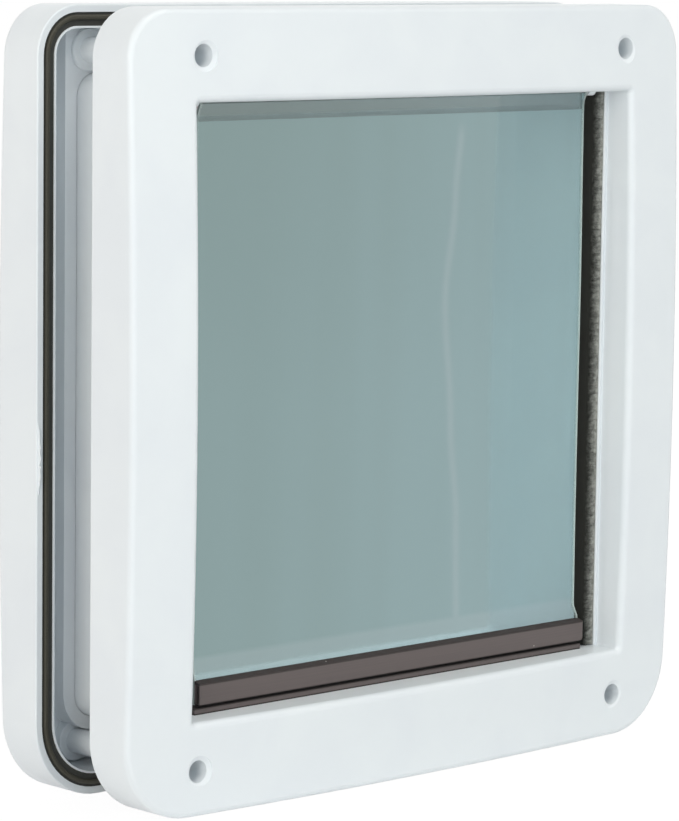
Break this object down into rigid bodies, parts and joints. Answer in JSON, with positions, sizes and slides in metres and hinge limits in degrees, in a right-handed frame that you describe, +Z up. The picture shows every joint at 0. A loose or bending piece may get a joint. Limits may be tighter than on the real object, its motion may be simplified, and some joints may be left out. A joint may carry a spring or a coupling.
{
  "type": "dog door",
  "caption": "Two-way dog door: two white moulded frames clamp a door leaf round a short tunnel with a clear swinging flap, brush seals and a magnetic bottom bar.",
  "frame": {"origin": "middle of the two frames in X and Y, on the surface that they stand on", "axes": "+X to the right seen from the front, +Y from the front face through the door leaf to the rear face, +Z up"},
  "size_m": [0.39, 0.1164, 0.4],
  "materials": {
    "white_plastic": "satin moulded",
    "gasket_rubber": "matte",
    "brush_pile": "woven pile",
    "brown_plastic": "matte",
    "magnet_rubber": "matte",
    "tinted_sheet": "clear tinted flexible sheet",
    "steel": "bright"
  },
  "bodies": {
    "frame": {"front_frame": "white_plastic", "rear_frame": "white_plastic", "rear_gasket": "gasket_rubber", "pile_seal_left": "brush_pile", "pile_seal_right": "brush_pile", "threshold_strip": "brown_plastic", "threshold_magnet": "magnet_rubber", "hinge_bush_left": "white_plastic", "hinge_bush_right": "white_plastic"},
    "flap": {"flap_sheet": "tinted_sheet", "flap_bar_front": "brown_plastic", "flap_bar_rear": "brown_plastic", "flap_magnet": "magnet_rubber", "bar_screws": "steel", "hinge_rod": "steel"}
  },
  "joints": [
    {"name": "flap_swing", "type": "hinge", "parent": "frame", "child": "flap", "pos_m": [0, -0.033, 0.354], "axis": [1, 0, 0], "range_deg": [-80, 80]}
  ]
}
